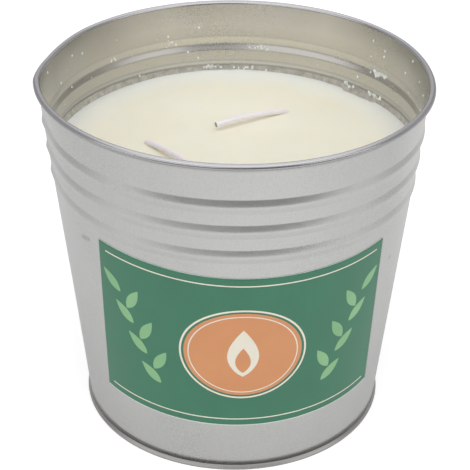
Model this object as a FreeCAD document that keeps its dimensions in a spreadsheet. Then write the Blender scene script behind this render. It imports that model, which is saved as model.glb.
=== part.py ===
import FreeCAD, Part
import math
import os

import Sketcher

# Citronella candle bucket: a tapered tinplate bucket with three rolled beads and a curled rim, a
# seamed-on bottom, a poured wax fill with three tabbed wicks, and a paper label on the front.
# Origin on the floor under the middle of the bottom seam, +Z up, the label faces -Y, millimetres.

DRIVING_SIZES = {
    # Sheet metal
    "sheet_gauge": 0.28,
    "base_radius": 46.19,
    "mouth_radius": 55.85,
    "wall_height": 107.6,
    "curl_radius": 0.965,
    "curl_angle": 215.0,
    # Rolled beads, measured at their crests
    "bead_drop": 12.95,
    "bead_pitch": 8.05,
    "bead_width": 4.5,
    "bead_depth": 0.48,
    # Double seam and the recessed bottom panel
    "seam_height": 2.0,
    "hook_gap": 0.1,
    "panel_height": 3.2,
    # Wax and wicks
    "headspace": 22.0,
    "wick_radius": 0.85,
    "wick_inset": 24.6,
    "wick_bend_radius": 3.5,
    "wick_bend_angle": 80.0,
    "wick_sag_radius": 105.0,
    "wick_sag_angle": 13.2,
    "wick_dip": 0.7,
    # Wick tabs
    "tab_width": 15.0,
    "tab_gauge": 0.4,
    "neck_radius": 1.4,
    "neck_height": 6.0,
    # Paper label
    "label_width": 89.9,
    "label_bottom_margin": 17.7,
    "label_top_margin": 4.92,
    "label_gauge": 0.15,
    "glue_gauge": 0.05,
}
BEAD_COUNT = 3
CURL_FACETS = 5
BORE_FACETS = 3
CORD_SIDES = 8
BEND_SPANS = 3
SAG_SPANS = 2

# Each wick: its name, its azimuth on the wick circle and the azimuth that it leans to, in degrees.
WICKS = (
    ("rear", 51.6, 209.3),
    ("left", 175.8, 315.0),
    ("front", 291.0, 15.0),
)


class Size:
    """A length or a plain number, kept with the expression that works it out from the sheet."""

    def __init__(self, value, text):
        self.value = value
        self.text = text

    def joined(self, other, sign, value):
        other = as_size(other)
        return Size(value(self.value, other.value), f"({self.text} {sign} {other.text})")

    def __add__(self, other):
        return self.joined(other, "+", lambda a, b: a + b)

    def __sub__(self, other):
        return self.joined(other, "-", lambda a, b: a - b)

    def __mul__(self, other):
        return self.joined(other, "*", lambda a, b: a * b)

    def __truediv__(self, other):
        return self.joined(other, "/", lambda a, b: a / b)

    def __rmul__(self, other):
        return as_size(other) * self

    def __rsub__(self, other):
        return as_size(other) - self


def as_size(number):
    return number if isinstance(number, Size) else Size(float(number), repr(float(number)))


def sine(angle):
    return Size(math.sin(math.radians(angle.value)), f"sin({angle.text} * 1 deg)")


def cosine(angle):
    return Size(math.cos(math.radians(angle.value)), f"cos({angle.text} * 1 deg)")


def make_sheet(doc):
    sheet = doc.addObject("Spreadsheet::Sheet", "Sizes")
    for row, (name, value) in enumerate(DRIVING_SIZES.items(), start=1):
        sheet.set(f"A{row}", name)
        sheet.set(f"B{row}", str(value))
        sheet.setAlias(f"B{row}", name)
    doc.recompute()


def cell(name):
    return Size(DRIVING_SIZES[name], f"Sizes.{name}")


def taper():
    """How much the wall's radius grows for each millimetre of height."""
    return (cell("mouth_radius") - cell("base_radius")) / cell("wall_height")


def plain_radius(height):
    """Outer radius of the tapered wall at a height, between the beads."""
    return cell("base_radius") + taper() * height


def bead_heights():
    """Lower edge, crest and upper edge of each bead, from the lowest bead up."""
    half = cell("bead_width") / 2
    top = cell("wall_height") - cell("bead_drop")
    crests = [top - n * cell("bead_pitch") for n in range(BEAD_COUNT)]
    return [(crest - half, crest, crest + half) for crest in reversed(crests)]


def wall_radius(height):
    """Outer radius of the wall at a height, with the outward bulge of a bead if one is there."""
    radius = plain_radius(height)
    for low, crest, high in bead_heights():
        if low.value < height.value < high.value:
            away = height - crest if height.value > crest.value else crest - height
            radius = radius + cell("bead_depth") * (1 - 2 * away / cell("bead_width"))
    return radius


def bead_outline(shift, top=None):
    """Points up the wall over the beads, moved outward by shift, as far as the height top."""
    heights = [height for bead in bead_heights() for height in bead]
    if top is not None:
        heights = [height for height in heights if height.value < top.value]
    return [(wall_radius(height) + shift, height) for height in heights]


def origin_plane(body, role):
    return next(item for item in body.Origin.OriginFeatures if item.Role == role)


def new_body(doc, name):
    body = doc.addObject("PartDesign::Body", name)
    body.Label = name
    return body


def new_sketch(body, name, role):
    sketch = body.newObject("Sketcher::SketchObject", name)
    sketch.AttachmentSupport = [(origin_plane(body, role), "")]
    sketch.MapMode = "FlatFace"
    return sketch


def bind(sketch, constraint, size):
    """Adds a dimension to a sketch and ties it to the sheet."""
    index = sketch.addConstraint(constraint)
    sketch.setExpression(f"Constraints[{index}]", size.text)


def fix_point(sketch, geometry, end, x, y):
    """Holds one end of a sketch line or arc at sheet-driven coordinates."""
    for kind, size, axis in (("DistanceX", x, -2), ("DistanceY", y, -1)):
        if size.text == "0.0":
            sketch.addConstraint(Sketcher.Constraint("PointOnObject", geometry, end, axis))
        else:
            bind(sketch, Sketcher.Constraint(kind, -1, 1, geometry, end, size.value), size)


def add_outline(sketch, points, closed=True):
    """Draws straight lines through sheet-driven points, and back to the first one if closed."""
    points = [(as_size(x), as_size(y)) for x, y in points]
    corners = [FreeCAD.Vector(x.value, y.value, 0) for x, y in points]
    lines = []
    for start, end in zip(corners, corners[1:] + corners[:1] if closed else corners[1:]):
        lines.append(sketch.addGeometry(Part.LineSegment(start, end)))
    for before, after in zip(lines, lines[1:] + lines[:1] if closed else lines[1:]):
        sketch.addConstraint(Sketcher.Constraint("Coincident", before, 2, after, 1))
    for line, point in zip(lines, points):
        fix_point(sketch, line, 1, *point)
    if not closed:
        fix_point(sketch, lines[-1], 2, *points[-1])


def turned_body(doc, name, outline):
    """A body of revolution about the vertical axis from an outline of (radius, height) points."""
    body = new_body(doc, name)
    sketch = new_sketch(body, f"{name}_outline", "XZ_Plane")
    add_outline(sketch, outline)
    doc.recompute()
    turned = body.newObject("PartDesign::Revolution", f"{name}_turned")
    turned.Profile = sketch
    turned.ReferenceAxis = (sketch, ["V_Axis"])
    turned.Angle = 360
    sketch.Visibility = False
    return body


def layer(number, height):
    """A corner of the bottom seam, counted in sheets outward from the wall's outer face."""
    return (plain_radius(as_size(height)) + number * cell("sheet_gauge"), height)


def curl_points(radius, facets, start, end):
    """Points round the curled rim, in degrees from its inner side over the top."""
    centre = cell("mouth_radius") - cell("sheet_gauge") + cell("curl_radius")
    points = []
    for n in range(facets + 1):
        angle = start + (end - start) * n / facets
        along, up = radius * cosine(angle), radius * sine(angle)
        points.append((centre - along, cell("wall_height") + up))
    return points


def make_wall(doc):
    """Sheet from the folded hook in the bottom seam, up past the beads and round the curled rim."""
    gauge, curl = cell("sheet_gauge"), cell("curl_radius")
    hook = cell("seam_height") - gauge - cell("hook_gap")
    none, turn = as_size(0), cell("curl_angle")
    outline = [
        layer(-1, gauge),
        layer(2, gauge),
        layer(2, hook),
        layer(1, hook),
        layer(1, 2 * gauge),
        layer(0, 2 * gauge),
        *bead_outline(none),
        *curl_points(curl - gauge, BORE_FACETS, none, turn),
        *curl_points(curl, CURL_FACETS, turn, none),
        *reversed(bead_outline(0 - gauge)),
    ]
    return turned_body(doc, "bucket_wall", outline)


def make_bottom(doc):
    """Recessed panel whose edge drops inside the wall, turns under it and hooks over its fold."""
    gauge, seam, panel = cell("sheet_gauge"), cell("seam_height"), cell("panel_height")
    tip = 2 * gauge + cell("hook_gap")
    outline = [
        (0, panel),
        layer(-2, panel),
        layer(-2, 0),
        layer(3, 0),
        layer(3, seam),
        layer(0, seam),
        layer(0, tip),
        layer(1, tip),
        layer(1, seam - gauge),
        layer(2, seam - gauge),
        layer(2, gauge),
        layer(-1, gauge),
        layer(-1, panel + gauge),
        (0, panel + gauge),
    ]
    return turned_body(doc, "bucket_bottom", outline)


def floor_height():
    """Height of the bottom panel's upper face, on which the wax and the wick tabs stand."""
    return cell("panel_height") + cell("sheet_gauge")


def wax_level():
    """Height of the wax surface."""
    return cell("wall_height") - cell("headspace")


def stand_on_panel(body, azimuth, heading):
    """Puts a wick or a tab at its place on the circle of wicks, turned to its heading."""
    circle = plain_radius(wax_level()) - cell("sheet_gauge") - cell("wick_inset")
    place = (circle * cosine(as_size(azimuth)), circle * sine(as_size(azimuth)), floor_height())
    for axis, size in zip("xyz", place):
        body.setExpression(f".Placement.Base.{axis}", size.text)
    body.Placement.Rotation = FreeCAD.Rotation(FreeCAD.Vector(0, 0, 1), heading)


def spans(start, radius, first, last, count):
    """Points along an arc of a wick, by its lean from upright, one for each straight span."""
    x, y = start
    points = []
    for n in range(1, count + 1):
        lean = first + (last - first) * n / count
        along = x + radius * (cosine(first) - cosine(lean))
        points.append((along, y + radius * (sine(lean) - sine(first))))
    return points


def make_wick(doc, name, azimuth, heading):
    """Waxed cord from the bottom panel up through the wax, bent over as it comes out."""
    body = new_body(doc, f"wick_{name}")
    bend, turn = cell("wick_bend_radius"), cell("wick_bend_angle")
    crown = wax_level() - floor_height() + cell("wick_radius") - cell("wick_dip")
    knee = (as_size(0), crown - bend * sine(turn))
    bent = spans(knee, bend, as_size(0), turn, BEND_SPANS)
    sagged = spans(bent[-1], cell("wick_sag_radius"), turn, turn + cell("wick_sag_angle"), SAG_SPANS)
    path = new_sketch(body, f"{name}_path", "XZ_Plane")
    add_outline(path, [(0, 0), knee, *bent, *sagged], closed=False)
    section = new_sketch(body, f"{name}_section", "XY_Plane")
    add_polygon(section, cell("wick_radius"), CORD_SIDES)
    doc.recompute()
    cord = body.newObject("PartDesign::AdditivePipe", f"{name}_cord")
    cord.Profile = section
    cord.Spine = (path, [f"Edge{n}" for n in range(1, 2 + BEND_SPANS + SAG_SPANS)])
    cord.Transition = "Right corner"
    path.Visibility = False
    section.Visibility = False
    stand_on_panel(body, azimuth, heading)
    return body


def add_polygon(sketch, radius, sides):
    """Regular polygon about the sketch's origin, with a flat side across each axis."""
    corners = []
    for n in range(sides):
        angle = as_size(360 * (n + 0.5) / sides)
        corners.append((radius * cosine(angle), radius * sine(angle)))
    add_outline(sketch, corners)


def make_tab(doc, name, azimuth, heading):
    """Pressed steel tab that holds the foot of a wick in its neck."""
    body = new_body(doc, f"wick_tab_{name}")
    corner = cell("tab_width") * math.sqrt(0.5)
    for step, radius, sides, height in (
        ("plate", corner, 4, cell("tab_gauge")),
        ("neck", cell("neck_radius"), CORD_SIDES, cell("neck_height")),
    ):
        sketch = new_sketch(body, f"{name}_{step}_outline", "XY_Plane")
        add_polygon(sketch, radius, sides)
        pad = body.newObject("PartDesign::Pad", f"{name}_{step}")
        pad.Profile = sketch
        pad.setExpression("Length", height.text)
        sketch.Visibility = False
    bore = new_sketch(body, f"{name}_bore_outline", "XY_Plane")
    add_polygon(bore, cell("wick_radius"), CORD_SIDES)
    doc.recompute()
    cut = body.newObject("PartDesign::Pocket", f"{name}_bore")
    cut.Profile = bore
    cut.Type = "ThroughAll"
    cut.Reversed = True
    bore.Visibility = False
    stand_on_panel(body, azimuth, heading)
    return body


def make_wax(doc, wall, inner_pieces):
    """Wax poured on to the bottom panel, against the wall and round the wicks and their tabs."""
    level, low = wax_level(), floor_height()
    middle = 0 - cell("sheet_gauge") / 2
    outline = [
        (0, low),
        (wall_radius(low) + middle, low),
        *bead_outline(middle, level),
        (wall_radius(level) + middle, level),
        (0, level),
    ]
    blank = turned_body(doc, "wax_blank", outline)
    inside = doc.addObject("Part::Cut", "wax_inside_wall")
    inside.Base = blank
    inside.Tool = wall
    held = doc.addObject("Part::MultiFuse", "wicks_and_tabs")
    held.Shapes = inner_pieces
    wax = doc.addObject("Part::Cut", "wax_fill")
    wax.Base = inside
    wax.Tool = held
    wax.Label = "wax_fill"
    return wax


def beyond(point, outward, reach):
    """A large block on the far side of the plane through a point with the given normal."""
    block = Part.makeBox(reach, reach, reach, FreeCAD.Vector(-reach / 2, -reach / 2, 0))
    turn = FreeCAD.Rotation(FreeCAD.Vector(0, 0, 1), outward)
    block.Placement = FreeCAD.Placement(point, turn)
    return block


def make_label(doc):
    """Flat paper rectangle wrapped on the tapered wall, centred on the front."""
    slope = taper().value
    half_angle = math.atan(slope)
    apex = -cell("base_radius").value / slope
    half_width = cell("label_width").value / 2
    bottom = cell("label_bottom_margin")
    top = bead_heights()[0][0] - cell("label_top_margin")
    low, high = ((height.value - apex) / math.cos(half_angle) for height in (bottom, top))

    def on_wall(across, along):
        """The point on the wall under a point of the flat paper."""
        slant = math.hypot(across, along)
        azimuth = math.atan2(across, along) / math.sin(half_angle)
        radius = slant * math.sin(half_angle)
        x, y = radius * math.sin(azimuth), -radius * math.cos(azimuth)
        return FreeCAD.Vector(x, y, apex + slant * math.cos(half_angle))

    def radius_at(height, clearance):
        return (height - apex) * slope + clearance / math.cos(half_angle)

    height, glue = cell("wall_height").value, cell("glue_gauge")
    cones = [
        Part.makeCone(radius_at(0, gap.value), radius_at(height, gap.value), height)
        for gap in (glue, glue + cell("label_gauge"))
    ]
    paper = cones[1].cut(cones[0])
    middle = (low + high) / 2
    edges = (
        ((-half_width, low), (0, low), (half_width, low)),
        ((half_width, high), (0, high), (-half_width, high)),
        ((half_width, low), (half_width, middle), (half_width, high)),
        ((-half_width, high), (-half_width, middle), (-half_width, low)),
    )
    for edge in edges:
        start, mid, end = (on_wall(*point) for point in edge)
        along = end - start
        radial = FreeCAD.Vector(mid.x, mid.y, 0).normalize()
        normal = radial * math.cos(half_angle) - FreeCAD.Vector(0, 0, math.sin(half_angle))
        paper = paper.cut(beyond(mid, along.cross(normal), 4 * height))
    label = doc.addObject("Part::Feature", "front_label")
    label.Label = "front_label"
    label.Shape = paper.Solids[0]
    label.Placement = FreeCAD.Placement()
    return label


def check(doc, pieces):
    for item in doc.Objects:
        bad = {"Invalid", "Error"} & set(item.State)
        if bad:
            raise RuntimeError(f"{item.Name} is {item.State}")
    for piece in pieces:
        if piece.Shape.isNull() or not piece.Shape.isValid():
            raise RuntimeError(f"{piece.Label} has no valid shape")


def main():
    doc = FreeCAD.newDocument("candle_bucket")
    make_sheet(doc)
    wall = make_wall(doc)
    bottom = make_bottom(doc)
    wicks = [make_wick(doc, *row) for row in WICKS]
    tabs = [make_tab(doc, *row) for row in WICKS]
    wax = make_wax(doc, wall, wicks + tabs)
    label = make_label(doc)
    doc.recompute()
    pieces = [wall, bottom, *wicks, *tabs, wax, label]
    check(doc, pieces)
    os.makedirs("parts", exist_ok=True)
    for piece in pieces:
        piece.Shape.exportStep(os.path.join("parts", f"{piece.Label}.step"))
        print(piece.Label, "solids", len(piece.Shape.Solids), "volume", round(piece.Shape.Volume, 2))


main()
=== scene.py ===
import math
import random

import bmesh
import bpy
from mathutils import Matrix, Vector, noise


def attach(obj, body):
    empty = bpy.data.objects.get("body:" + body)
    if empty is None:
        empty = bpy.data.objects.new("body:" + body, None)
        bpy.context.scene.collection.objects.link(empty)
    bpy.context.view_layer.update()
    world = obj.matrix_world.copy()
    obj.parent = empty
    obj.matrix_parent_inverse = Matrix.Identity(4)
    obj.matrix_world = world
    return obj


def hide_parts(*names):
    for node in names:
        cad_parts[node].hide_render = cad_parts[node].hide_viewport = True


# Looks of the citronella candle bucket: tinplate wall and bottom, wax, wicks and paper label.
# Metres and degrees, in the frame of the solids: origin on the floor, +Z up, the label faces -Y.

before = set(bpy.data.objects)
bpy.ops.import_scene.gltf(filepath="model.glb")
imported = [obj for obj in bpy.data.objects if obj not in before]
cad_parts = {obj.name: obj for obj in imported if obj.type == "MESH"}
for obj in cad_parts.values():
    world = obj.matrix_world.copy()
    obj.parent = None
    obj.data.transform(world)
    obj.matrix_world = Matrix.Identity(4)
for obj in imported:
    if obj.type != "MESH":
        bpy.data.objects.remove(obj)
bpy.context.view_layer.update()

MM = 0.001

# The photograph's view, fitted to the rim, the base and the label's corners
CAMERA_DISTANCE = 362.68 * MM
CAMERA_AZIMUTH = 266.6
CAMERA_HEIGHT = 268.97 * MM
CAMERA_HEADING = 3.43
CAMERA_PITCH = 30.66
CAMERA_ROLL = 0.888
CAMERA_LENS = 104.48
CAMERA_SENSOR = 36

# Tinplate wall
GAUGE = 0.28 * MM
BASE_RADIUS = 46.19 * MM
MOUTH_RADIUS = 55.85 * MM
WALL_HEIGHT = 107.6 * MM
CURL_RADIUS = 0.965 * MM
CURL_ANGLE = 215
TAPER = (MOUTH_RADIUS - BASE_RADIUS) / WALL_HEIGHT
LEAN = math.atan(TAPER)

# Rolled beads
BEAD_COUNT = 3
BEAD_DROP = 13.1 * MM
BEAD_PITCH = 8.05 * MM
BEAD_ABOVE = 2.4 * MM
BEAD_BELOW = 2.1 * MM
BEAD_DEPTH = 0.52 * MM
BEAD_SOFTNESS = 0.2
BEAD_CRESTS = [WALL_HEIGHT - BEAD_DROP - n * BEAD_PITCH for n in reversed(range(BEAD_COUNT))]
NECK_HEIGHT = BEAD_CRESTS[-1] + BEAD_ABOVE

# Rows of points up the plain wall and the span of it, over each flank of a bead, just off the
# flank's foot, which keeps it crisp, and up the neck
PLAIN_STEPS = 16
PLAIN_SPAN = 72 * MM
FLANK_STEPS = 9
FLANK_HEM = 0.12 * MM
NECK_STEPS = 5

# The weld line, where the sheet was closed, springs outward: a ridge up to the beads, which turns
# into a swell at the rim. Each reaches so many degrees from the line, the swell less to the back.
WELD_AZIMUTH = 182
WELD_PEAK = 1.55 * MM
WELD_HALF = 15
WELD_RIM_PEAK = 1.05 * MM
WELD_RIM_BACK = 15
WELD_RIM_FRONT = 40

# The mouth is a little out of true: its back stands wider, its front lower, and two stretches are
# flatter. A flat has a middle, half a width in degrees, and a depth.
BACK_AZIMUTH = 75
BACK_SPREAD = 0.9 * MM
FRONT_DIP = 0.3 * MM
RIM_FLATS = ((160, 20, 0.5 * MM), (5, 30, 0.45 * MM))

# Tinplate: its darker and lighter tone, and how rough it is
OUTSIDE_TIN = ((0.54, 0.541, 0.532), (0.625, 0.625, 0.612), 0.25)
INSIDE_TIN = ((0.6, 0.582, 0.55), (0.67, 0.648, 0.61), 0.25)
RIM_TIN = ((0.58, 0.57, 0.585), (0.65, 0.64, 0.655), 0.16)
# The seam's tin is darker: painted shade, for the shaded floor at the foot that the seam ring
# mirrors
SHADED_SEAM_TIN = ((0.41, 0.395, 0.385), (0.46, 0.445, 0.435), 0.3)

# Scuffs on the outside: azimuth, height, half the width and how dark
SCUFFS = ((211.8, 70.6 * MM, 1.2 * MM, 0.4), (213.4, 71 * MM, 1.3 * MM, 0.45),
          (215.2, 71.4 * MM, 1.2 * MM, 0.4), (327, 62.5 * MM, 1.2 * MM, 0.35))
SCUFF_COLOUR = (0.2, 0.2, 0.19, 1)

# Painted shade: dark rings where shade falls under the curl, in the creases of the beads, above
# the wax film and on the curl's underside: height, half the width and how dark
# Outside: a painted shadow of the curl on the wall just below it
OUTSIDE_SHADE_RINGS = ((106.1 * MM, 0.9 * MM, 0.3),)
# Inside: painted shade in the creases of the beads, and a painted shadow line just above the wax
# film
INSIDE_SHADE_RINGS = ((96.9 * MM, 0.5 * MM, 0.12), (92.3 * MM, 0.4 * MM, 0.1),
                (88.9 * MM, 0.5 * MM, 0.22), (87.35 * MM, 0.5 * MM, 0.5))
# On the rim: painted shade on the underside of the curl
RIM_SHADE_RINGS = ((107.2 * MM, 0.8 * MM, 0.45),)
SHADE_RING_COLOUR = (0.2, 0.19, 0.18, 1)

# Painted light on the inside: painted shade towards its two sides, and a painted highlight high
# up in the middle
INSIDE_MIDDLE = 6 * MM
INSIDE_ASIDE = (25 * MM, 55 * MM)
INSIDE_HIGH = (95 * MM, 101 * MM)
SHADE_SHARE = 0.38
SHADED_TIN = (0.3, 0.29, 0.275, 1)
HIGHLIGHT_SHARE = 0.7
HIGHLIGHT_TIN = (0.88, 0.85, 0.81, 1)

# Bottom: the outside of its seam, and its recessed panel
SEAM_HEIGHT = 1.45 * MM
SEAM_SLOPE = 0.9 * MM
SEAM_ROUNDING = 0.22 * MM
SEAM_GROOVE = 0.21 * MM
SEAM_GROOVE_DEPTH = 0.03 * MM
PANEL_HEIGHT = 3.2 * MM
PANEL_PINHOLE = 0.1 * MM

# Wax and wicks
HEADSPACE = 22 * MM
WAX_LEVEL = WALL_HEIGHT - HEADSPACE
WAX_SINK = 0.4 * MM
WAX_EDGE = WAX_LEVEL - 0.65 * MM
WAX_EDGE_BACK = 0.6 * MM
WAX_EDGE_REACH = 45
WAX_ROUNDING = 3 * MM
WAX_RAGGED = 0.15 * MM
WAX_WAVE = 0.12 * MM
WAX_GAP = 0.02 * GAUGE
# Painted light on the wax: it turns whiter from the first radius to the second, which lifts the
# shade that the wall casts on its edge
WAX_LIT_EDGE = (42 * MM, 53 * MM)
FILM_TOP = 87.1 * MM
FILM_RAGGED = 0.2 * MM
FILM_GAUGE = 0.05 * MM
FILM_HEM = 0.6 * MM
# Rings of points over the surface, further ones close to its edge, and those up the film
SURFACE_RINGS = 40
EDGE_SHARES = [0.985, 0.992, 0.997]
FILM_SHARES = [0.1, 0.35, 0.6, 0.8, 1]
# Chips of the wax edge: the middle and half the width in degrees, and how far back
CHIPS = ((42, 6, 0.8 * MM), (35.5, 3.5, 0.6 * MM), (92, 5, 0.3 * MM))
CHIP_DROP = 0.5 * MM
WICK_RADIUS = 0.85 * MM
WICK_BEND_RADIUS = 3.5 * MM
WICK_BEND_ANGLE = 80
WICK_SAG_RADIUS = 105 * MM
WICK_SAG_ANGLE = 13.2
WICK_DIP = 0.7 * MM
WICK_CIRCLE = 29 * MM
# Each wick: the azimuth of its foot, and the azimuth that it leans to
WICKS = {"rear": (51.6, 209.3), "left": (175.8, 304.6), "front": (291.0, 15.0)}
# How far a wick that leans in the wax has moved where it leaves it, along X, Y and Z
WICK_STRAY = {"left": (1.72 * MM, 0.85 * MM, 0)}
# The lean starts at the first height and is over at the second
STRAY_SPAN = (10 * MM, WAX_LEVEL - 9 * MM)
# Braid: the length in which its strands twist by one radian, and how they swell the cord
BRAID_PITCH = 0.55 * MM
BRAID_STRANDS = 3
BRAID_CORE = 0.96
BRAID_SWELL = 0.02
# Points round a wick, and steps up its stem, round its bend and along its drooping end
WICK_SIDES = 28
STEM_STEPS = 30
BEND_STEPS = 24
SAG_STEPS = 120

# Splashes of wax inside the wall, as azimuth and height in mm
FLECK_SEED = 7
FLECK_SIZE = 0.36 * MM
FLECK_LIFT = 0.55
FLECK_WOBBLE = 0.35
FLECK_TALL = 1.2
FLECK_SINK = 0.02 * MM
FLECKS = ((99.7, 100.2), (110.6, 98.3), (146.7, 102), (152.7, 103.4), (172, 105.6), (162, 98.1),
          (154.4, 93.6), (100.2, 90.1), (103.7, 92.3), (122, 87.2), (36.8, 104.1), (30.8, 102.6),
          (30.9, 100.8), (13.9, 105.8), (6, 102.4), (-0.3, 100.8), (2.2, 95), (18, 100.3),
          (36.5, 93.6), (41.6, 90.6), (76.4, 85.7), (87.6, 86.1))
# Fine spray between two azimuths, with sizes in mm
SPRAY_COUNT = 22
SPRAY_AZIMUTHS = (-10, 200)
SPRAY_SIZES = (0.12, 0.24)
SPRAY_MARGIN = 2 * MM
# Ragged patches: azimuth, height in mm, spread in degrees, count, and size in mm. The heights
# spread by so many mm, and the sizes vary by so much
PATCH_SPREAD = 0.35
PATCH_SIZES = (0.6, 1.3)
PATCHES = ((109.3, 96.1, 0.8, 7, 0.3), (132.7, 95, 0.8, 6, 0.3), (33.2, 94.1, 1.2, 16, 0.5),
           (29.5, 94.6, 0.9, 10, 0.45), (78, 93.5, 1.6, 12, 0.3), (95.5, 86.6, 1.8, 18, 0.45),
           (84, 86.5, 1.2, 6, 0.4), (45.6, 86.5, 0.8, 7, 0.45), (33, 86.7, 1.4, 14, 0.5))

# Label, as a flat sheet before it is wrapped
LABEL_WIDTH = 89.9 * MM
LABEL_BOTTOM = 17.7 * MM
LABEL_TOP = 71.38 * MM
LABEL_GLUE = 0.05 * MM
LABEL_GAUGE = 0.15 * MM
LABEL_RISE = 1.05 * MM
LABEL_HEIGHT = (LABEL_TOP - LABEL_BOTTOM) / math.cos(LEAN)
LABEL_COLUMNS = 150
LABEL_ROWS = 80
# Where the top edge begins to rise, and where it has risen
RISE_SPAN = (4 * MM, -40 * MM)
# Soft creases in mm: middle, half the width and height
CREASES = ((17, 0.9, 0.05), (19.5, 1.2, -0.03))
GLUE_UNEVEN = 0.03 * MM
GLUE_LOWEST = -0.02 * MM

# Print: the panel's half width and height, with each rule round it as a share of them and a width
PRINT_LAYER = 0.02 * MM
PANEL_HALVES = (17 * MM, 15 * MM)
PANEL_RULES = ((0.92, 0.35 * MM), (1.06, 0.6 * MM))
# The flame and its heart: how far under the middle each starts, its height and its width
FLAME = (8 * MM, 17 * MM, 9 * MM)
FLAME_HEART = (6.5 * MM, 9 * MM, 4.4 * MM)
# The plain rules along the label: how far from its edges, and how wide
RULE_INSET = 2.6 * MM
RULE_WIDTH = 0.4 * MM
# The unprinted strip along the label's lower edge
BARE_EDGE_MARGIN = 0.1 * MM
BARE_EDGE_HEIGHT = 0.16 * MM
BARE_EDGE_WIDTH = 0.3 * MM
# Sprigs of leaves: the first one's place in mm from the label's middle, and the step to the next
LEAVES = 7
SPRIG_FOOT = (24, -15)
SPRIG_STEP = (2.2, 4.6)
LEAF_SIZE = (8.5 * MM, 3.2 * MM)
LEAF_TILTS = (48, -28)
LEAF_SHARES = [n / 4 - 1 for n in range(9)]
LEAF_STEPS = 16
ROUND_STEPS = 96
DISC_STEPS = 12
LINE_STEPS = 200

# Points round each turned piece, and the azimuths of the front and the back
AROUND = 360
FRONT = 270
BACK = 90


def smoothstep(low, high, value):
    t = min(max((value - low) / (high - low), 0), 1)
    return t * t * (3 - 2 * t)


def polar(radius, azimuth, height):
    angle = math.radians(azimuth)
    return Vector((radius * math.cos(angle), radius * math.sin(angle), height))


def turn_from(centre, azimuth):
    """Degrees from one azimuth to another, between -180 and 180."""
    return (azimuth - centre + 180) % 360 - 180


def round_noise(size, azimuth, layer):
    """Smooth noise round the bucket, the same after a whole turn. A greater size is finer."""
    return noise.noise(polar(size, azimuth, layer))


# Camera


def add_camera():
    """The photograph's view. The heading turns from +Y towards +X, and the pitch looks down."""
    place = polar(CAMERA_DISTANCE, CAMERA_AZIMUTH, CAMERA_HEIGHT)
    heading, pitch = math.radians(CAMERA_HEADING), math.radians(CAMERA_PITCH)
    roll = math.radians(CAMERA_ROLL)
    ahead = Vector((
        math.sin(heading) * math.cos(pitch),
        math.cos(heading) * math.cos(pitch),
        -math.sin(pitch),
    ))
    level = Vector((math.cos(heading), -math.sin(heading), 0))
    upright = level.cross(ahead)
    right = level * math.cos(roll) + upright * math.sin(roll)
    up = upright * math.cos(roll) - level * math.sin(roll)
    turn = Matrix((right, up, -ahead)).transposed().to_4x4()
    data = bpy.data.cameras.new("camera")
    data.lens = CAMERA_LENS
    data.sensor_width = CAMERA_SENSOR
    camera = bpy.data.objects.new("camera", data)
    camera.matrix_world = Matrix.Translation(place) @ turn
    bpy.context.scene.collection.objects.link(camera)
    bpy.context.scene.camera = camera


# Node helpers


def new_material(name):
    material = bpy.data.materials.new(name)
    material.use_nodes = True
    tree = material.node_tree
    return material, tree, tree.nodes["Principled BSDF"]


def add_node(tree, kind, inputs=None, **settings):
    """A node with its settings, and with each named input linked or set."""
    node = tree.nodes.new(kind)
    for name, value in settings.items():
        setattr(node, name, value)
    for name, value in (inputs or {}).items():
        if isinstance(value, bpy.types.NodeSocket):
            tree.links.new(value, node.inputs[name])
        else:
            node.inputs[name].default_value = value
    return node


def object_space(tree):
    return add_node(tree, "ShaderNodeTexCoord").outputs["Object"]


def split_axes(tree, vector):
    return add_node(tree, "ShaderNodeSeparateXYZ", {"Vector": vector}).outputs


def noise_value(tree, vector, scale, detail, roughness=0.5):
    inputs = {"Vector": vector, "Scale": scale, "Detail": detail, "Roughness": roughness}
    return add_node(tree, "ShaderNodeTexNoise", inputs).outputs["Fac"]


def remap(tree, value, start, end, to_start=0, to_end=1):
    """to_start where the value is start, to_end where it is end, and even in between."""
    node = add_node(tree, "ShaderNodeMapRange", {
        "Value": value,
        "From Min": start,
        "From Max": end,
        "To Min": to_start,
        "To Max": to_end,
    })
    return node.outputs["Result"]


def calculate(tree, operation, first, second=0.0):
    return add_node(tree, "ShaderNodeMath", {0: first, 1: second}, operation=operation).outputs[0]


def multiply(tree, first, second):
    return calculate(tree, "MULTIPLY", first, second)


def blend(tree, factor, first, second):
    node = add_node(tree, "ShaderNodeMix", data_type="RGBA")
    for socket, value in (("Factor_Float", factor), ("A_Color", first), ("B_Color", second)):
        target = next(item for item in node.inputs if item.identifier == socket)
        if isinstance(value, bpy.types.NodeSocket):
            tree.links.new(value, target)
        else:
            target.default_value = value
    return next(item for item in node.outputs if item.identifier == "Result_Color")


def add_bump(tree, shader, height, distance, strength):
    inputs = {"Height": height, "Distance": distance, "Strength": strength}
    bump = add_node(tree, "ShaderNodeBump", inputs)
    tree.links.new(bump.outputs["Normal"], shader.inputs["Normal"])


def near_spot(tree, place, spot, core, reach):
    """1 within core of a spot on the object, falling to 0 at reach."""
    inputs = {0: place, 1: tuple(spot)}
    away = add_node(tree, "ShaderNodeVectorMath", inputs, operation="DISTANCE").outputs["Value"]
    return remap(tree, away, core, reach, 1, 0)


def rgb(red, green, blue):
    """A colour as it shows on screen, from 0 to 255, as the linear colour that a shader takes."""
    linear = [((c / 255 + 0.055) / 1.055) ** 2.4 for c in (red, green, blue)]
    return (*linear, 1.0)


# Materials


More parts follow.
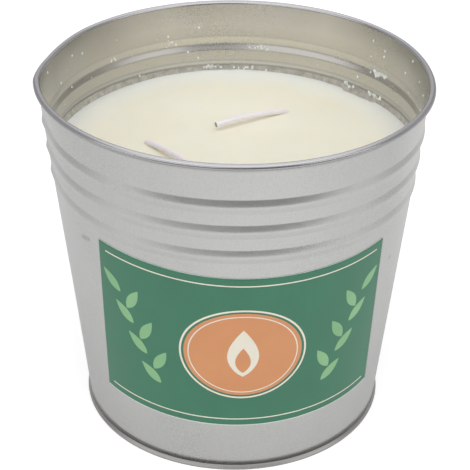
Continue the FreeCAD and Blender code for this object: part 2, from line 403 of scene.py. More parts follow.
def inside_painted_light(tree, place, colour):
    """Painted light on the inside: painted shade at its two sides, and a painted highlight high
    up in the middle.
    """
    parts = split_axes(tree, place)
    across = calculate(tree, "SUBTRACT", parts["X"], INSIDE_MIDDLE)
    aside = remap(tree, calculate(tree, "ABSOLUTE", across), *INSIDE_ASIDE, 0, SHADE_SHARE)
    high = multiply(tree, remap(tree, parts["Z"], *INSIDE_HIGH),
                    remap(tree, aside, 0, 0.25, HIGHLIGHT_SHARE, 0))
    colour = blend(tree, aside, colour, SHADED_TIN)
    return blend(tree, high, colour, HIGHLIGHT_TIN)


def make_tinplate(name, tin, marks=(), rings=(), painted_tone=None):
    """Dull tin coating: fine crystals, clouds, rolling lines, any dark scuff marks, and rings of
    painted shade.
    """
    dark, light, gloss = tin
    material, tree, shader = new_material(name)
    place = object_space(tree)
    crystals = noise_value(tree, place, scale=1900, detail=3, roughness=0.6)
    clouds = noise_value(tree, place, scale=45, detail=3)
    stretched = add_node(tree, "ShaderNodeMapping", {"Vector": place, "Scale": (60, 60, 900)})
    lines = noise_value(tree, stretched.outputs["Vector"], scale=1, detail=2)
    grain = calculate(tree, "ADD", remap(tree, crystals, 0.3, 0.7, -0.7, 0.7),
                      remap(tree, clouds, 0.3, 0.7, -0.35, 0.35))
    colour = blend(tree, remap(tree, grain, -0.9, 0.9), (*dark, 1), (*light, 1))
    # Painted shade and highlight, where a piece has them
    if painted_tone:
        colour = painted_tone(tree, place, colour)
    for azimuth, height, half, depth in marks:
        spot = polar(plain_radius(height), azimuth, height)
        near = near_spot(tree, place, spot, 0.25 * half, half)
        colour = blend(tree, multiply(tree, near, depth), colour, SCUFF_COLOUR)
    level = split_axes(tree, place)["Z"]
    # Painted shade: dark bands at the given heights, where folds, creases and the curl shade the
    # tin
    for height, half, depth in rings:
        away = calculate(tree, "ABSOLUTE", calculate(tree, "SUBTRACT", level, height))
        near = remap(tree, away, 0.35 * half, half, depth, 0)
        colour = blend(tree, near, colour, SHADE_RING_COLOUR)
    tree.links.new(colour, shader.inputs["Base Color"])
    rough = remap(tree, calculate(tree, "ADD", clouds, crystals), 0.6, 1.4, gloss, gloss + 0.1)
    tree.links.new(rough, shader.inputs["Roughness"])
    shader.inputs["Metallic"].default_value = 1.0
    relief = calculate(tree, "ADD", crystals, multiply(tree, lines, 0.4))
    add_bump(tree, shader, relief, distance=0.02 * MM, strength=0.4)
    return material


def make_wax():
    """Poured wax: cream and a little clear, with faint clouds and a sheen, and whiter at the wall
    by painted light.
    """
    material, tree, shader = new_material("wax")
    place = object_space(tree)
    clouds = noise_value(tree, place, scale=60, detail=3)
    fine = noise_value(tree, place, scale=700, detail=3)
    colour = blend(tree, remap(tree, clouds, 0.3, 0.7), rgb(248, 243, 222), rgb(251, 246, 228))
    flat = add_node(tree, "ShaderNodeVectorMath", {0: place, 1: (1, 1, 0)}, operation="MULTIPLY")
    radius = add_node(tree, "ShaderNodeVectorMath", {0: flat.outputs[0]}, operation="LENGTH")
    # Painted light: whiter towards the wall, against the wall's shade on the wax
    near_wall = remap(tree, radius.outputs["Value"], *WAX_LIT_EDGE)
    colour = blend(tree, near_wall, colour, rgb(249, 251, 241))
    tree.links.new(colour, shader.inputs["Base Color"])
    tree.links.new(remap(tree, clouds, 0.3, 0.7, 0.42, 0.55), shader.inputs["Roughness"])
    shader.inputs["Subsurface Weight"].default_value = 0.35
    shader.inputs["Subsurface Radius"].default_value = (1.0, 0.85, 0.5)
    shader.inputs["Subsurface Scale"].default_value = 3 * MM
    shader.inputs["IOR"].default_value = 1.43
    relief = calculate(tree, "ADD", clouds, multiply(tree, fine, 0.1))
    add_bump(tree, shader, relief, distance=0.15 * MM, strength=0.4)
    return material


def make_film():
    """Thin wax on the tin: greyer than the fill."""
    material, tree, shader = new_material("wax_film")
    place = object_space(tree)
    patches = noise_value(tree, place, scale=500, detail=4, roughness=0.6)
    tone = remap(tree, patches, 0.35, 0.65)
    colour = blend(tree, tone, rgb(158, 153, 144), rgb(192, 188, 180))
    tree.links.new(colour, shader.inputs["Base Color"])
    tree.links.new(remap(tree, patches, 0.3, 0.7, 0.35, 0.55), shader.inputs["Roughness"])
    add_bump(tree, shader, patches, distance=0.05 * MM, strength=0.5)
    return material


def make_cord(name, light, dark):
    """Cotton of a wick, soaked in wax."""
    material, tree, shader = new_material(name)
    place = object_space(tree)
    fibres = noise_value(tree, place, scale=1500, detail=4, roughness=0.7)
    tree.links.new(blend(tree, fibres, dark, light), shader.inputs["Base Color"])
    tree.links.new(remap(tree, fibres, 0.3, 0.7, 0.5, 0.7), shader.inputs["Roughness"])
    shader.inputs["Subsurface Weight"].default_value = 0.2
    shader.inputs["Subsurface Scale"].default_value = 1 * MM
    add_bump(tree, shader, fibres, distance=0.05 * MM, strength=0.6)
    return material


def make_print(name, light, dark, gloss=0.38):
    """Printed paper with a thin gloss: one colour, with faint clouds and paper fibre."""
    material, tree, shader = new_material(name)
    place = object_space(tree)
    clouds = noise_value(tree, place, scale=90, detail=3)
    fibre = noise_value(tree, place, scale=2200, detail=3, roughness=0.7)
    tone = calculate(tree, "ADD", remap(tree, clouds, 0.3, 0.7, 0, 0.7),
                     remap(tree, fibre, 0.3, 0.7, 0, 0.3))
    tree.links.new(blend(tree, tone, dark, light), shader.inputs["Base Color"])
    tree.links.new(remap(tree, clouds, 0.3, 0.7, gloss, gloss + 0.08), shader.inputs["Roughness"])
    shader.inputs["Specular IOR Level"].default_value = 0.75
    add_bump(tree, shader, fibre, distance=0.01 * MM, strength=0.5)
    return material


# Mesh helpers


def add_object(name, points, faces, materials, smooth=True, merge=False):
    """A mesh object. merge joins points that lie on one another, as at a tip."""
    mesh = bpy.data.meshes.new(name)
    mesh.from_pydata([tuple(p) for p in points], [], faces)
    for material in materials:
        mesh.materials.append(material)
    work = bmesh.new()
    work.from_mesh(mesh)
    if merge:
        bmesh.ops.remove_doubles(work, verts=work.verts, dist=0.001 * MM)
    bmesh.ops.recalc_face_normals(work, faces=work.faces)
    work.to_mesh(mesh)
    work.free()
    mesh.polygons.foreach_set("use_smooth", [smooth] * len(mesh.polygons))
    mesh.update()
    piece = bpy.data.objects.new(name, mesh)
    bpy.context.scene.collection.objects.link(piece)
    return piece


def grid_faces(rows, columns, wrap_rows=False, wrap_columns=True):
    """Quads between neighbouring points of a grid that is stored row by row."""
    faces = []
    for row in range(rows if wrap_rows else rows - 1):
        for column in range(columns if wrap_columns else columns - 1):
            after, beside = (row + 1) % rows, (column + 1) % columns
            corners = ((row, column), (row, beside), (after, beside), (after, column))
            faces.append([r * columns + c for r, c in corners])
    return faces


def lathe(name, outline, materials, shape=None):
    """A turned piece from a closed outline of (radius, height) points. shape moves each point."""
    points = []
    for radius, height in outline:
        for n in range(AROUND):
            azimuth = 360 * n / AROUND
            place = shape(azimuth, radius, height) if shape else (radius, height)
            points.append(polar(place[0], azimuth, place[1]))
    return add_object(name, points, grid_faces(len(outline), AROUND, wrap_rows=True), materials)


# Tinplate wall and bottom


def plain_radius(height):
    return BASE_RADIUS + TAPER * height


def bead_bulge(height):
    """Outward bulge of the beads: fairly straight flanks, a rounded crest and crisp feet."""
    full = math.hypot(1, BEAD_SOFTNESS)
    for crest in BEAD_CRESTS:
        away = (height - crest) / BEAD_ABOVE if height > crest else (crest - height) / BEAD_BELOW
        if away < 1:
            return BEAD_DEPTH * (full - math.hypot(away, BEAD_SOFTNESS)) / (full - BEAD_SOFTNESS)
    return 0.0


def rim_share(height):
    """0 up to the top bead, rising to 1 at the rim."""
    return smoothstep(NECK_HEIGHT, WALL_HEIGHT, height)


def sprung(azimuth, radius, height):
    """Radius with the weld line's ridge and swell, the wider back and the flats of the rim."""
    offset = turn_from(WELD_AZIMUTH, azimuth)
    ridge = WELD_PEAK * height / BEAD_CRESTS[-1] * max(1 - abs(offset) / WELD_HALF, 0) ** 2
    width = WELD_RIM_FRONT if offset > 0 else WELD_RIM_BACK
    swell = WELD_RIM_PEAK * max(1 - abs(offset) / width, 0) ** 1.1
    for centre, half, depth in RIM_FLATS:
        swell -= depth * smoothstep(1, 0, abs(turn_from(centre, azimuth)) / half)
    facing = max(math.cos(math.radians(azimuth - BACK_AZIMUTH)), 0)
    back = BACK_SPREAD * height / WALL_HEIGHT * facing ** 2
    share = rim_share(height)
    return radius + ridge * (1 - share) + swell * share + back


def true_place(azimuth, radius, height):
    """Radius and height of a point of the wall, with its spring and its low front."""
    front = max(-math.sin(math.radians(azimuth)), 0) ** 2
    return sprung(azimuth, radius, height), height - FRONT_DIP * front * rim_share(height)


def wall_heights():
    """Heights at which the wall's outline is drawn: close over the beads, wide elsewhere."""
    low = BEAD_CRESTS[0] - BEAD_BELOW
    heights = [low + (n / PLAIN_STEPS - 1) * PLAIN_SPAN for n in range(PLAIN_STEPS)]
    for crest in BEAD_CRESTS:
        heights += [crest + n / FLANK_STEPS * BEAD_ABOVE for n in range(FLANK_STEPS + 1)]
        heights += [crest - n / FLANK_STEPS * BEAD_BELOW for n in range(1, FLANK_STEPS + 1)]
        heights += [crest + BEAD_ABOVE + FLANK_HEM, crest - BEAD_BELOW - FLANK_HEM]
    neck = WALL_HEIGHT - NECK_HEIGHT
    heights += [NECK_HEIGHT + neck * n / NECK_STEPS for n in range(1, NECK_STEPS)]
    return sorted(heights)


def curl_outline(radius, first, last, count):
    """Points round the curled rim, by the angle from its inner side over the top."""
    centre = MOUTH_RADIUS - GAUGE + CURL_RADIUS
    angles = [math.radians(first + (last - first) * n / count) for n in range(count + 1)]
    return [(centre - radius * math.cos(a), WALL_HEIGHT + radius * math.sin(a)) for a in angles]


def make_wall(outside_tin, rim_tin, inside_tin):
    """One sheet: its outside, the curl with its bore and its skin, and its inside."""
    heights = wall_heights()
    outside = [(plain_radius(z) + bead_bulge(z), z) for z in heights]
    inside = [(radius - GAUGE, z) for radius, z in reversed(outside)]
    foot = [(plain_radius(z) + out, z) for out, z in ((-GAUGE, 2 * GAUGE), (0, 2 * GAUGE))]
    bore = curl_outline(CURL_RADIUS - GAUGE, 0, CURL_ANGLE, count=14)
    skin = curl_outline(CURL_RADIUS, CURL_ANGLE, 0, count=20)
    outline = [*foot, *outside, *bore, *skin, *inside]
    wall = lathe("wall", outline, [outside_tin, rim_tin, inside_tin], true_place)
    rim_start = (len(foot) + len(outside) + len(bore)) * AROUND
    for n, polygon in enumerate(wall.data.polygons[rim_start:]):
        polygon.material_index = 1 if n < (len(skin) - 1) * AROUND else 2
    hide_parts("bucket_wall")
    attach(wall, "root")


# A rounding takes just under half of each side, so that two of them never meet
UNDER_HALF = 2.01


def rounded(outline, radius, steps=4):
    """The same closed outline with each corner turned on a small radius."""
    points = []
    for n, corner in enumerate(outline):
        corner = Vector(corner)
        before, after = Vector(outline[n - 1]), Vector(outline[(n + 1) % len(outline)])
        shorter = min((before - corner).length, (after - corner).length)
        reach = min(radius, shorter / UNDER_HALF)
        start = corner + (before - corner).normalized() * reach
        end = corner + (after - corner).normalized() * reach
        for step in range(steps + 1):
            t = step / steps
            points.append(tuple(start * (1 - t) ** 2 + corner * 2 * t * (1 - t) + end * t * t))
    return points


def make_bottom(tinplate):
    """Recessed panel and the rounded outside of the seam that joins it to the wall."""
    inner, outer = BASE_RADIUS - 2 * GAUGE, BASE_RADIUS + 3 * GAUGE
    outline = [
        (PANEL_PINHOLE, PANEL_HEIGHT),
        (inner, PANEL_HEIGHT),
        (inner, 0),
        (outer, 0),
        (outer, SEAM_HEIGHT - SEAM_SLOPE),
        (BASE_RADIUS + 1.3 * SEAM_GROOVE, SEAM_HEIGHT),
        (BASE_RADIUS + SEAM_GROOVE, SEAM_HEIGHT),
        (BASE_RADIUS + SEAM_GROOVE, SEAM_HEIGHT - SEAM_GROOVE_DEPTH),
        (BASE_RADIUS - GAUGE, SEAM_HEIGHT - SEAM_GROOVE_DEPTH),
        (BASE_RADIUS - GAUGE, PANEL_HEIGHT + GAUGE),
        (PANEL_PINHOLE, PANEL_HEIGHT + GAUGE),
    ]
    bottom = lathe("bottom_end", rounded(outline, SEAM_ROUNDING), [tinplate])
    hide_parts("bucket_bottom")
    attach(bottom, "root")


# Wax


def inner_wall(azimuth, height, gap=0.0):
    """Radius of the wall's inner face at a height, less a gap."""
    return sprung(azimuth, plain_radius(height) + bead_bulge(height) - GAUGE - gap, height)


def edge_level(azimuth):
    """Height at which the wax meets the wall: a little more at the back."""
    away = abs(turn_from(BACK, azimuth))
    return WAX_EDGE + WAX_EDGE_BACK * max(1 - away / WAX_EDGE_REACH, 0)


def film_point(azimuth, share):
    """A point of the thin film that the wax left on the wall above its edge."""
    top = FILM_TOP + FILM_RAGGED * round_noise(9, azimuth, 2)
    height = edge_level(azimuth) * (1 - share) + top * share
    return polar(inner_wall(azimuth, height, FILM_GAUGE), azimuth, height)


def make_wax_fill(wax, film):
    """The fill, with a surface that has sunk a little and has left a film on the wall."""
    azimuths = [360 * n / AROUND for n in range(AROUND)]
    shares = sorted([n / SURFACE_RINGS for n in range(1, SURFACE_RINGS + 1)] + EDGE_SHARES)
    rings = [[surface_point(azimuth, share) for azimuth in azimuths] for share in shares]
    film_start = len(rings) - 1
    rings += [[film_point(azimuth, share) for azimuth in azimuths] for share in FILM_SHARES]
    film_end = len(rings) - 1
    low = PANEL_HEIGHT + GAUGE
    side = [z for z in reversed(wall_heights()) if low < z < FILM_TOP - FILM_HEM]
    for height in [*side, low]:
        rings.append([polar(inner_wall(a, height, WAX_GAP), a, height) for a in azimuths])
    points = [Vector((0, 0, WAX_LEVEL - WAX_SINK)), Vector((0, 0, low))]
    points += [point for ring in rings for point in ring]
    faces = [[2 + i for i in face] for face in grid_faces(len(rings), AROUND)]
    last = 2 + (len(rings) - 1) * AROUND
    for n in range(AROUND):
        after = (n + 1) % AROUND
        faces += [[0, 2 + n, 2 + after], [1, last + after, last + n]]
    fill = add_object("wax", points, faces, [wax, film])
    for polygon in fill.data.polygons[film_start * AROUND:film_end * AROUND]:
        polygon.material_index = 1
    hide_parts("wax_fill")
    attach(fill, "root")


def surface_point(azimuth, share):
    """A point of the wax surface, at a share of the way from the middle to the wall."""
    edge = edge_level(azimuth)
    full = inner_wall(azimuth, edge)
    chip = chip_depth(azimuth)
    reach = full * share - chip * smoothstep(0.9, 1, share)
    rough = WAX_RAGGED * round_noise(4, azimuth, 7)
    depth = WAX_LEVEL - WAX_SINK - edge + rough
    fall = depth * smoothstep(full - WAX_ROUNDING, full, full * share)
    wave = WAX_WAVE * round_noise(reach / MM * 0.06, azimuth, 3)
    drop = CHIP_DROP * smoothstep(0.2 * MM, 0.8 * MM, chip) * smoothstep(0.995, 1, share)
    return polar(reach, azimuth, WAX_LEVEL - WAX_SINK - fall + wave - drop)


def chip_depth(azimuth):
    """How far the wax edge has broken back from the wall."""
    depth = 0.0
    for centre, half, deep in CHIPS:
        away = abs(turn_from(centre, azimuth)) / half
        ragged = 1 + 0.5 * noise.noise(Vector((azimuth * 0.9, centre, 0)))
        if away < 1:
            depth = max(depth, deep * ragged * smoothstep(1, 0.6, away))
    return depth


def fleck_spots():
    """Azimuth, height and size of the splashes: single ones, fine spray and ragged patches."""
    draw = random.Random(FLECK_SEED)
    spots = [(azimuth, height * MM, FLECK_SIZE) for azimuth, height in FLECKS]
    low, high = WAX_LEVEL + SPRAY_MARGIN, WALL_HEIGHT - SPRAY_MARGIN
    for _ in range(SPRAY_COUNT):
        azimuth, height = draw.uniform(*SPRAY_AZIMUTHS), draw.uniform(low, high)
        spots.append((azimuth, height, draw.uniform(*SPRAY_SIZES) * MM))
    for middle, level, spread, count, size in PATCHES:
        for _ in range(count):
            azimuth = middle + draw.gauss(0, spread)
            height = (level + draw.gauss(0, PATCH_SPREAD)) * MM
            spots.append((azimuth, height, size * draw.uniform(*PATCH_SIZES) * MM))
    return spots


def make_flecks(wax):
    """Splashes of wax on the inside of the wall, above the fill."""
    points, faces = [], []
    rings, sides = 4, 9
    for azimuth, height, size in fleck_spots():
        wall = inner_wall(azimuth % 360, height)
        first = len(points)
        for ring in range(rings + 1):
            lift = FLECK_LIFT * size * math.cos(math.pi / 2 * ring / rings)
            spread = size * math.sin(math.pi / 2 * ring / rings)
            for side in range(sides):
                angle = 2 * math.pi * side / sides
                ragged = noise.noise(Vector((azimuth, side * 0.8, height * 900)))
                wobble = 1 + FLECK_WOBBLE * ragged
                across = math.degrees(spread * wobble * math.cos(angle) / wall)
                up = spread * wobble * FLECK_TALL * math.sin(angle)
                radius = wall + TAPER * up - lift + FLECK_SINK
                points.append(polar(radius, azimuth + across, height + up))
        faces += [[first + i for i in face] for face in grid_faces(rings + 1, sides)]
    flecks = add_object("wax_flecks", points, faces, [wax], merge=True)
    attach(flecks, "root")


# Wicks


def wick_path():
    """The cord's centre line in its own upright plane: (along, up) points from its foot."""
    turn, end = math.radians(WICK_BEND_ANGLE), math.radians(WICK_BEND_ANGLE + WICK_SAG_ANGLE)
    foot = PANEL_HEIGHT + GAUGE
    crown = WAX_LEVEL + WICK_RADIUS - WICK_DIP
    knee = crown - WICK_BEND_RADIUS * math.sin(turn)
    points = [(0, foot + (knee - foot) * n / STEM_STEPS) for n in range(STEM_STEPS)]
    for n in range(BEND_STEPS):
        lean = turn * n / BEND_STEPS
        along = WICK_BEND_RADIUS * (1 - math.cos(lean))
        points.append((along, knee + WICK_BEND_RADIUS * math.sin(lean)))
    bent = WICK_BEND_RADIUS * (1 - math.cos(turn))
    for n in range(SAG_STEPS + 1):
        lean = turn + (end - turn) * n / SAG_STEPS
        along = bent + WICK_SAG_RADIUS * (math.cos(turn) - math.cos(lean))
        points.append((along, crown + WICK_SAG_RADIUS * (math.sin(lean) - math.sin(turn))))
    return points


def make_wick(name, azimuth, heading, cord, cut):
    """A braided cord: crossing strands swell a round tube, and its end is cut square."""
    start = polar(WICK_CIRCLE, azimuth, 0)
    stray = Vector(WICK_STRAY.get(name, (0, 0, 0)))
    line = [start + polar(along, heading, up) + stray * smoothstep(*STRAY_SPAN, up)
            for along, up in wick_path()]
    side = polar(1, heading + 90, 0)
    points, travelled = [], 0.0
    for n, centre in enumerate(line):
        before, after = line[max(n - 1, 0)], line[min(n + 1, len(line) - 1)]
        upward = (after - before).normalized().cross(side)
        travelled += (centre - before).length
        twist = travelled / BRAID_PITCH
        for k in range(WICK_SIDES):
            angle = 2 * math.pi * k / WICK_SIDES
            round_cord = BRAID_STRANDS * angle
            strands = max(math.cos(round_cord + twist), math.cos(round_cord - twist))
            radius = WICK_RADIUS * (BRAID_CORE + BRAID_SWELL * strands)
            points.append(centre + (side * math.cos(angle) + upward * math.sin(angle)) * radius)
    faces = grid_faces(len(line), WICK_SIDES)
    last = (len(line) - 1) * WICK_SIDES
    faces.append([last + k for k in range(WICK_SIDES)])
    faces.append([WICK_SIDES - 1 - k for k in range(WICK_SIDES)])
    wick = add_object(f"cord_{name}", points, faces, [cord, cut])
    wick.data.polygons[len(faces) - 2].material_index = 1
    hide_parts(f"wick_{name}")
    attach(wick, "root")


# Label


def on_wall(across, along, lift):
    """A point of the flat label, lift above the wall. across is from the middle of the front."""
    along += LABEL_RISE * smoothstep(*RISE_SPAN, across) * along / LABEL_HEIGHT
    apex = -BASE_RADIUS / TAPER
    slant_low = (LABEL_BOTTOM - apex) / math.cos(LEAN)
    slant = math.hypot(across, slant_low + along)
    turn = math.degrees(math.atan2(across, slant_low + along) / math.sin(LEAN))
    radius = slant * math.sin(LEAN) + lift * math.cos(LEAN)
    return polar(radius, FRONT + turn, apex + slant * math.cos(LEAN) - lift * math.sin(LEAN))


def paper_lift(across, along):
    """The paper's outer face over the wall: its soft creases and a slightly uneven glue."""
    crease = 0.0
    for middle, half, height in CREASES:
        crease += math.exp(-((across - middle * MM) / (half * MM)) ** 2) * height * MM
    uneven = GLUE_UNEVEN * noise.noise(Vector((across * 120, along * 60, 1)))
    return LABEL_GLUE + LABEL_GAUGE + crease + max(uneven, GLUE_LOWEST)


def print_patch(name, rows, material, layer):
    """A field of print: each row is a list of flat points, and all rows have the same length."""
    lift = layer * PRINT_LAYER
    points = [on_wall(x, y, paper_lift(x, y) + lift) for row in rows for x, y in row]
    faces = grid_faces(len(rows), len(rows[0]), wrap_columns=False)
    patch = add_object(name, points, faces, [material], merge=True)
    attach(patch, "root")


def leaf_rows(x, y, length, width, angle):
    """A pointed leaf from its stalk, as rows across it."""
    rows = []
    for n in range(LEAF_STEPS + 1):
        t = n / LEAF_STEPS
        half = width / 2 * math.sin(math.pi * t ** 0.85) ** 0.9
        rows.append([turned(x, y, angle, t * length, half * s) for s in LEAF_SHARES])
    return rows


def turned(x, y, angle, along, across):
    cosine, sine = math.cos(math.radians(angle)), math.sin(math.radians(angle))
    return (x + along * cosine - across * sine, y + along * sine + across * cosine)


def ring_rows(x, y, radius_x, radius_y, width):
    rows = []
    for n in range(ROUND_STEPS + 1):
        angle = 2 * math.pi * n / ROUND_STEPS
        cosine, sine = math.cos(angle), math.sin(angle)
        rows.append([(x + (radius_x + out) * cosine, y + (radius_y + out) * sine)
                     for out in (-width / 2, width / 2)])
    return rows


def disc_rows(x, y, radius_x, radius_y):
    angles = [2 * math.pi * k / ROUND_STEPS for k in range(ROUND_STEPS + 1)]
    rows = []
    for n in range(DISC_STEPS + 1):
        share = n / DISC_STEPS
        rows.append([(x + radius_x * share * math.cos(a), y + radius_y * share * math.sin(a))
                     for a in angles])
    return rows


def line_rows(x0, y0, x1, y1, width):
    angle = math.degrees(math.atan2(y1 - y0, x1 - x0))
    length = math.hypot(x1 - x0, y1 - y0)
    return [[turned(x0, y0, angle, length * n / LINE_STEPS, s * width / 2) for s in (-1, 1)]
            for n in range(LINE_STEPS + 1)]


def make_label(green, paper):
    """The paper as a closed sheet: its back on the wall, its printed front, and its cut edge."""
    rows, columns = LABEL_ROWS + 1, LABEL_COLUMNS + 1
    points = []
    for lift in (lambda x, y: LABEL_GLUE * 0.6, paper_lift):
        for row in range(rows):
            y = LABEL_HEIGHT * row / LABEL_ROWS
            for column in range(columns):
                x = LABEL_WIDTH * (column / LABEL_COLUMNS - 0.5)
                points.append(on_wall(x, y, lift(x, y)))
    sheet = rows * columns
    quads = grid_faces(rows, columns, wrap_columns=False)
    front = [[sheet + i for i in face] for face in quads]
    back = [list(reversed(face)) for face in quads]
    border = list(range(columns))
    border += [row * columns + columns - 1 for row in range(1, rows)]
    border += [(rows - 1) * columns + column for column in range(columns - 2, -1, -1)]
    border += [row * columns for row in range(rows - 2, 0, -1)]
    edge = [[a, b, sheet + b, sheet + a] for a, b in zip(border, border[1:] + border[:1])]
    label = add_object("label", points, front + back + edge, [green, paper])
    for polygon in label.data.polygons[len(front):]:
        polygon.material_index = 1
    for polygon in label.data.polygons[len(front) + len(back):]:
        polygon.use_smooth = False
    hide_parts("front_label")
    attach(label, "root")


def make_artwork(paper):
    """A plain design of the maker's own: a panel with a flame, two leafy sprigs and rules."""
    clay = make_print("print_clay", rgb(213, 146, 96), rgb(205, 137, 88))
    cream = make_print("print_cream", rgb(236, 230, 214), rgb(228, 221, 204))
    leaf = make_print("print_leaf", rgb(140, 190, 138), rgb(118, 172, 120))
    middle = LABEL_HEIGHT * 0.5
    wide, tall = PANEL_HALVES
    print_patch("panel", disc_rows(0, middle, wide, tall), clay, 1)
    for n, (size, width) in enumerate(PANEL_RULES):
        ring = ring_rows(0, middle, wide * size, tall * size, width)
        print_patch(f"panel_rule_{n}", ring, cream, 2)
    flames = (("flame", FLAME, cream, 2), ("flame_heart", FLAME_HEART, clay, 3))
    for name, (under, length, width), ink, layer in flames:
        print_patch(name, leaf_rows(0, middle - under, length, width, 90), ink, layer)
    for side, name in ((-1, "left"), (1, "right")):
        for n in range(LEAVES):
            x = side * (SPRIG_FOOT[0] + SPRIG_STEP[0] * n) * MM
            y = middle + (SPRIG_FOOT[1] + SPRIG_STEP[1] * n) * MM
            angle = 90 - side * LEAF_TILTS[n % 2]
            print_patch(f"leaf_{name}_{n}", leaf_rows(x, y, *LEAF_SIZE, angle), leaf, 1)
    half = LABEL_WIDTH / 2 - BARE_EDGE_MARGIN
    edge = line_rows(-half, BARE_EDGE_HEIGHT, half, BARE_EDGE_HEIGHT, BARE_EDGE_WIDTH)
    print_patch("bare_edge", edge, paper, 1)
    half = LABEL_WIDTH / 2 - RULE_INSET
    for name, y in (("low", RULE_INSET), ("high", LABEL_HEIGHT - RULE_INSET)):
        print_patch(f"rule_{name}", line_rows(-half, y, half, y, RULE_WIDTH), cream, 1)


# Floor, backdrop and light


# The floor: its near edge, and how far it reaches behind and to each side, in metres
FLOOR_NEAR = -0.322
FLOOR_FAR = 3.0
FLOOR_HALF = 3.0
FLOOR_GREY = (0.5, 0.5, 0.5, 1)
CAMERA_GLOW = 0.45

# Zones of the floor and of the surroundings have soft limits. A limit is a measure, its values
# where the zone starts and where it is full, and the least share before the start. X is to the
# right, Y away from the viewer, Z up, SIDE the distance from the middle plane, and TURN the
# bearing from the front to the right. Places are in metres, and a direction has length 1.
# What the tin mirrors of the floor glows more away from the foot, less at the left, and is darker
# at the right front and far beside the bucket.
GLOW_REACH = (0.05, 0.19)
GLOW = (0.06, 0.16)
GLOW_LIMITS = (("X", -0.15, 0.0, 0.2),)
DARK_SHARE = 0.7
DARK_LIMITS = (("X", 0.09, 0.16, 0), ("Y", 0.07, 0.02, 0))
BESIDE_SHARE = 0.6
BESIDE_LIMITS = (("Y", -0.14, 0.02, 0), ("SIDE", 0.2, 0.27, 0))


def measures(tree, place):
    """What limits can name, of a place on the floor or of a direction."""
    parts = split_axes(tree, place)
    measured = {axis: parts[axis] for axis in "XYZ"}
    measured["SIDE"] = calculate(tree, "ABSOLUTE", parts["X"])
    return measured


def zone(tree, measured, share, limits):
    """share within all of the limits, falling off across each."""
    for measure, start, full, least in limits:
        share = multiply(tree, remap(tree, measured[measure], start, full, least, 1), share)
    return share


def band(measure, low, high, soft):
    """The two limits that keep a measure between low and high, each with a soft edge."""
    return ((measure, low - soft, low + soft, 0), (measure, high + soft, high - soft, 0))


def make_stage():
    """White floor. It glows a little for the camera and for what shines, and keeps its shadow."""
    material, tree, shader = new_material("floor")
    place = object_space(tree)
    grain = noise_value(tree, place, scale=6, detail=2)
    colour = blend(tree, grain, rgb(230, 230, 230), rgb(234, 234, 234))
    shader.inputs["Roughness"].default_value = 0.9
    shader.inputs["Specular IOR Level"].default_value = 0.1
    shader.inputs["Emission Color"].default_value = (1, 1, 1, 1)
    rays = add_node(tree, "ShaderNodeLightPath").outputs
    measured = measures(tree, place)
    away = add_node(tree, "ShaderNodeVectorMath", {0: place}, operation="LENGTH")
    glow = remap(tree, away.outputs["Value"], *GLOW_REACH, *GLOW)
    glow = zone(tree, measured, glow, GLOW_LIMITS)
    dark = zone(tree, measured, DARK_SHARE, DARK_LIMITS)
    beside = zone(tree, measured, BESIDE_SHARE, BESIDE_LIMITS)
    for dimmed in (dark, beside):
        glow = multiply(tree, glow, calculate(tree, "SUBTRACT", 1, dimmed))
    colour = blend(tree, multiply(tree, beside, rays["Is Glossy Ray"]), colour, FLOOR_GREY)
    tree.links.new(colour, shader.inputs["Base Color"])
    shiny = multiply(tree, rays["Is Glossy Ray"], glow)
    seen = multiply(tree, rays["Is Camera Ray"], CAMERA_GLOW)
    tree.links.new(calculate(tree, "ADD", seen, shiny), shader.inputs["Emission Strength"])
    corners = [(-FLOOR_HALF, FLOOR_NEAR, 0), (FLOOR_HALF, FLOOR_NEAR, 0),
               (FLOOR_HALF, FLOOR_FAR, 0), (-FLOOR_HALF, FLOOR_FAR, 0)]
    floor = add_object("floor", corners, [[0, 1, 2, 3]], [material], smooth=False)


# Each lamp: its name, azimuth, distance and height, then its width, its height and its watts. All
# point at the target.
SOFTBOXES = (
    ("softbox_left", 215, 0.9, 0.35, 0.6, 0.4, 2.2),
    ("softbox_right", 315, 0.9, 0.35, 0.6, 0.4, 2.2),
    ("softbox_top", 270, 0.3, 1.2, 1.2, 1.2, 6.8),
)
LAMP_TARGET = Vector((0, 0, 0.06))


def add_softbox(name, azimuth, distance, height, width, tall, watts):
    """A soft lamp that lights the scene and is itself neither seen nor mirrored."""
    data = bpy.data.lights.new(name, "AREA")
    data.shape = "RECTANGLE"
    data.size, data.size_y, data.energy = width, tall, watts
    lamp = bpy.data.objects.new(name, data)
    place = polar(distance, azimuth, height)
    lamp.location = place
    lamp.rotation_euler = (LAMP_TARGET - place).to_track_quat("-Z", "Y").to_euler()
    lamp.visible_camera = False
    lamp.visible_glossy = False
    bpy.context.scene.collection.objects.link(lamp)


# What shines mirrors white surroundings with grey, dark and bright zones, which tell one side of
# the tin from the other. Each zone: its colour, its share and its limits.
FACING = ("Y", 0.5, -0.2, 0)
LOW_FRONT = ((0.27, 0.27, 0.28, 1), 1, (FACING, ("Z", 0.45, 0.28, 0)))
OVERHEAD = ((1.4, 1.4, 1.4, 1), 1, (FACING, *band("Z", 0.72, 0.9, 0.05)))
VIEWER = ((0.4, 0.4, 0.4, 1), 0.7, (FACING, *band("Z", 0.5, 0.63, 0.04)))
BEHIND = ((0.55, 0.55, 0.56, 1), 1, (("Y", 0.5, 0.75, 0), ("Z", 0.7, 0.5, 0)))
SIDES = ((0.33, 0.33, 0.34, 1), 0.85,
         (("Y", -0.4, -0.1, 0), ("SIDE", 0.25, 0.45, 0), ("Z", 0.8, 0.6, 0.3)))
TABLE = ((0.03, 0.03, 0.03, 1), 1, band("Z", -0.6, -0.2, 0.06))
SCREEN_GLOW = (1.3, 1.3, 1.3, 1)
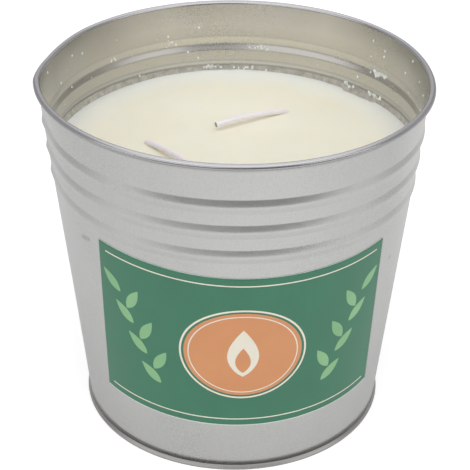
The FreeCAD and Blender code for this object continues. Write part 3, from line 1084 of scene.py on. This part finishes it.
# The two pale screens: first and last bearing from the front to the right, and their upright span
SCREENS = ((-85, -10), (32, 78))
SCREEN_SOFT = 3
SCREEN_SPAN = band("Z", 0.04, 0.32, 0.04)


def screen(first, last):
    span = (math.radians(first), math.radians(last), math.radians(SCREEN_SOFT))
    return SCREEN_GLOW, 1, (*SCREEN_SPAN, *band("TURN", *span))


def make_light():
    """White for the camera, an even grey that lights, zones for what shines, and three lamps."""
    world = bpy.data.worlds.new("studio")
    world.use_nodes = True
    bpy.context.scene.world = world
    tree = world.node_tree
    direction = add_node(tree, "ShaderNodeTexCoord").outputs["Generated"]
    measured = measures(tree, direction)
    towards_viewer = multiply(tree, measured["Y"], -1)
    measured["TURN"] = calculate(tree, "ARCTAN2", measured["X"], towards_viewer)
    studio = (1.0, 1.0, 1.0, 1)
    screens = [screen(first, last) for first, last in SCREENS]
    for colour, share, limits in (LOW_FRONT, OVERHEAD, VIEWER, BEHIND, SIDES, TABLE, *screens):
        studio = blend(tree, zone(tree, measured, share, limits), studio, colour)
    rays = add_node(tree, "ShaderNodeLightPath").outputs
    lit = blend(tree, rays["Is Glossy Ray"], (0.5, 0.5, 0.5, 1), studio)
    shown = blend(tree, rays["Is Camera Ray"], lit, (1, 1, 1, 1))
    tree.links.new(shown, tree.nodes["Background"].inputs["Color"])
    for lamp in SOFTBOXES:
        add_softbox(*lamp)


# The whole scene


def main():
    add_camera()
    outside = make_tinplate("tinplate", OUTSIDE_TIN, SCUFFS, OUTSIDE_SHADE_RINGS)
    inside = make_tinplate("tinplate_inside", INSIDE_TIN, (), INSIDE_SHADE_RINGS, inside_painted_light)
    rim = make_tinplate("tinplate_rim", RIM_TIN, (), RIM_SHADE_RINGS)
    seam = make_tinplate("tinplate_seam_shaded", SHADED_SEAM_TIN)
    wax = make_wax()
    film = make_film()
    make_wall(outside, rim, inside)
    make_bottom(seam)
    make_wax_fill(wax, film)
    make_flecks(wax)
    cord = make_cord("wick_cotton", rgb(252, 248, 252), rgb(240, 234, 240))
    cut = make_cord("wick_cut_end", rgb(196, 188, 176), rgb(140, 130, 120))
    for name, (azimuth, heading) in WICKS.items():
        make_wick(name, azimuth, heading, cord, cut)
        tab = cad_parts[f"wick_tab_{name}"]
        tab.data.materials.clear()
        tab.data.materials.append(seam)
    green = make_print("print_green", rgb(46, 117, 88), rgb(38, 108, 80))
    paper = make_print("label_cut_edge", rgb(226, 232, 226), rgb(206, 216, 208), 0.6)
    make_label(green, paper)
    make_artwork(paper)
    make_stage()
    make_light()
    bpy.context.scene.view_settings.view_transform = "Standard"
    bpy.context.view_layer.update()


main()
